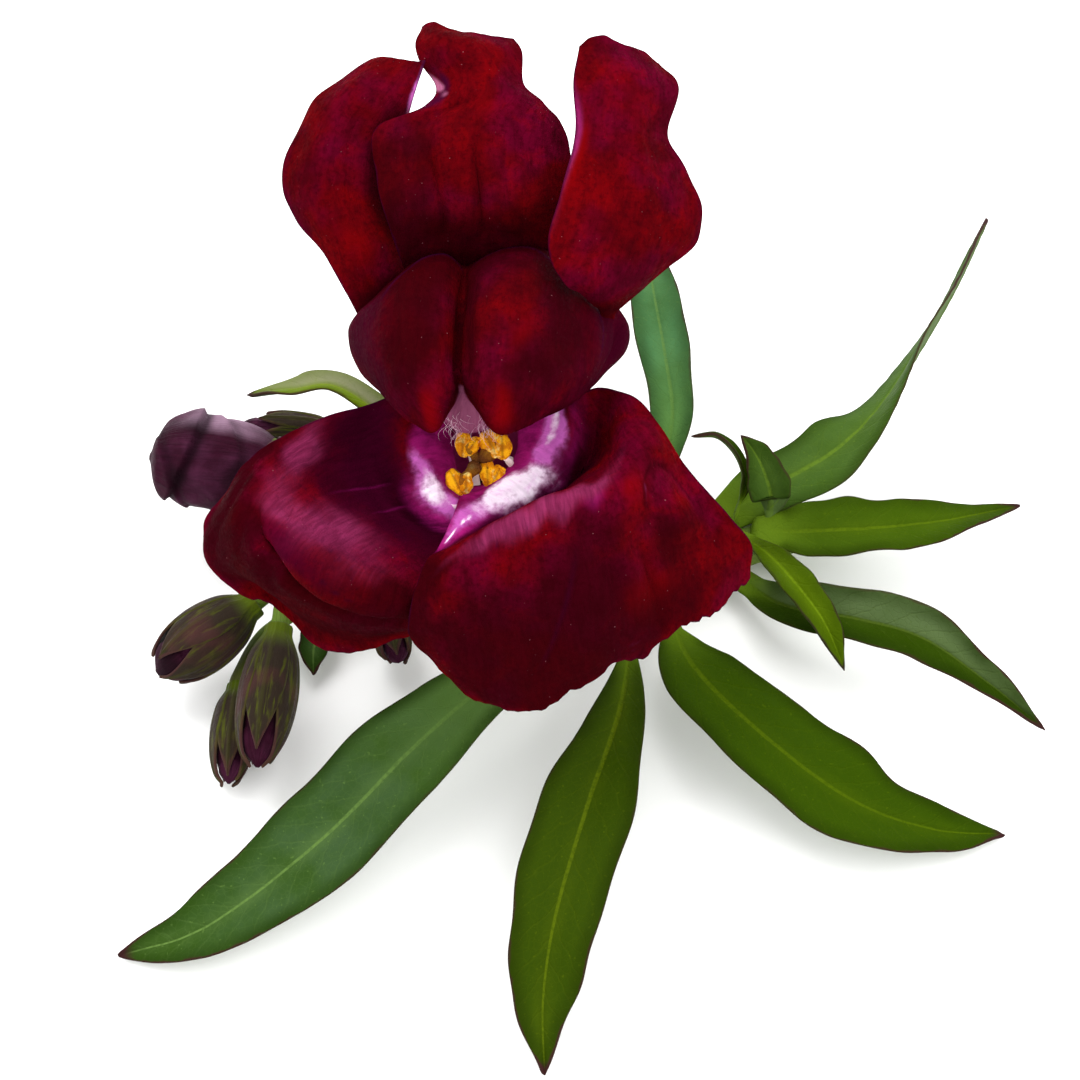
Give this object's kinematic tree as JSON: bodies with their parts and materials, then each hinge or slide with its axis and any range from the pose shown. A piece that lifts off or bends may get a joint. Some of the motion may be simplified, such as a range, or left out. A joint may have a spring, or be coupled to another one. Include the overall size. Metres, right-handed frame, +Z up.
{
  "type": "snapdragon stem",
  "caption": "Cut snapdragon shoot lying flat, with an open deep crimson flower, lance-shaped leaves and dusky closed buds.",
  "frame": {"origin": "on the surface it lies on, under the middle of the whole shoot", "axes": "+Z up from the surface, +X along the stem towards its cut end, the open flower looks up and towards -Y"},
  "size_m": [0.0642, 0.0731, 0.0392],
  "materials": {
    "stem_green": "satin",
    "leaf_green": "satin",
    "sepal_green": "satin",
    "petal_crimson": "matte",
    "throat_pink": "satin",
    "anther_yellow": "matte",
    "filament_white": "satin",
    "bud_purple": "matte"
  },
  "bodies": {
    "root": {"stem": "stem_green", "leaf_front_left": "leaf_green", "leaf_front": "leaf_green", "leaf_front_right": "leaf_green", "leaf_right_low": "leaf_green", "leaf_right": "leaf_green", "leaf_back_right": "leaf_green", "leaf_back": "leaf_green", "leaf_small_left": "leaf_green", "leaf_small_low": "leaf_green", "leaf_young_upright": "leaf_green", "leaf_young_curled": "leaf_green", "leaf_young_bright": "leaf_green", "flower_stalk": "stem_green", "corolla_tube": "throat_pink", "palate": "petal_crimson", "petal_upper_left": "petal_crimson", "petal_upper_right": "petal_crimson", "petal_lower_left": "petal_crimson", "petal_lower_middle": "petal_crimson", "petal_lower_right": "petal_crimson", "filament_upper_left": "filament_white", "filament_upper_right": "filament_white", "filament_lower_left": "filament_white", "filament_lower_right": "filament_white", "anther_upper_left": "anther_yellow", "anther_upper_right": "anther_yellow", "anther_lower_left": "anther_yellow", "anther_lower_right": "anther_yellow", "ovary": "sepal_green", "style": "filament_white", "sepal_1": "sepal_green", "sepal_2": "sepal_green", "sepal_3": "sepal_green", "sepal_4": "sepal_green", "sepal_5": "sepal_green", "bud_large_corolla": "bud_purple", "bud_large_calyx": "sepal_green", "bud_large_stalk": "stem_green", "bud_back_corolla": "bud_purple", "bud_back_calyx": "sepal_green", "bud_back_stalk": "stem_green", "bud_left_corolla": "bud_purple", "bud_left_calyx": "sepal_green", "bud_left_stalk": "stem_green", "bud_front_corolla": "bud_purple", "bud_front_calyx": "sepal_green", "bud_front_stalk": "stem_green", "bud_front_left_corolla": "bud_purple", "bud_front_left_calyx": "sepal_green", "bud_front_left_stalk": "stem_green", "bud_hidden_corolla": "bud_purple", "bud_hidden_calyx": "sepal_green", "bud_hidden_stalk": "stem_green"}
  },
  "joints": []
}
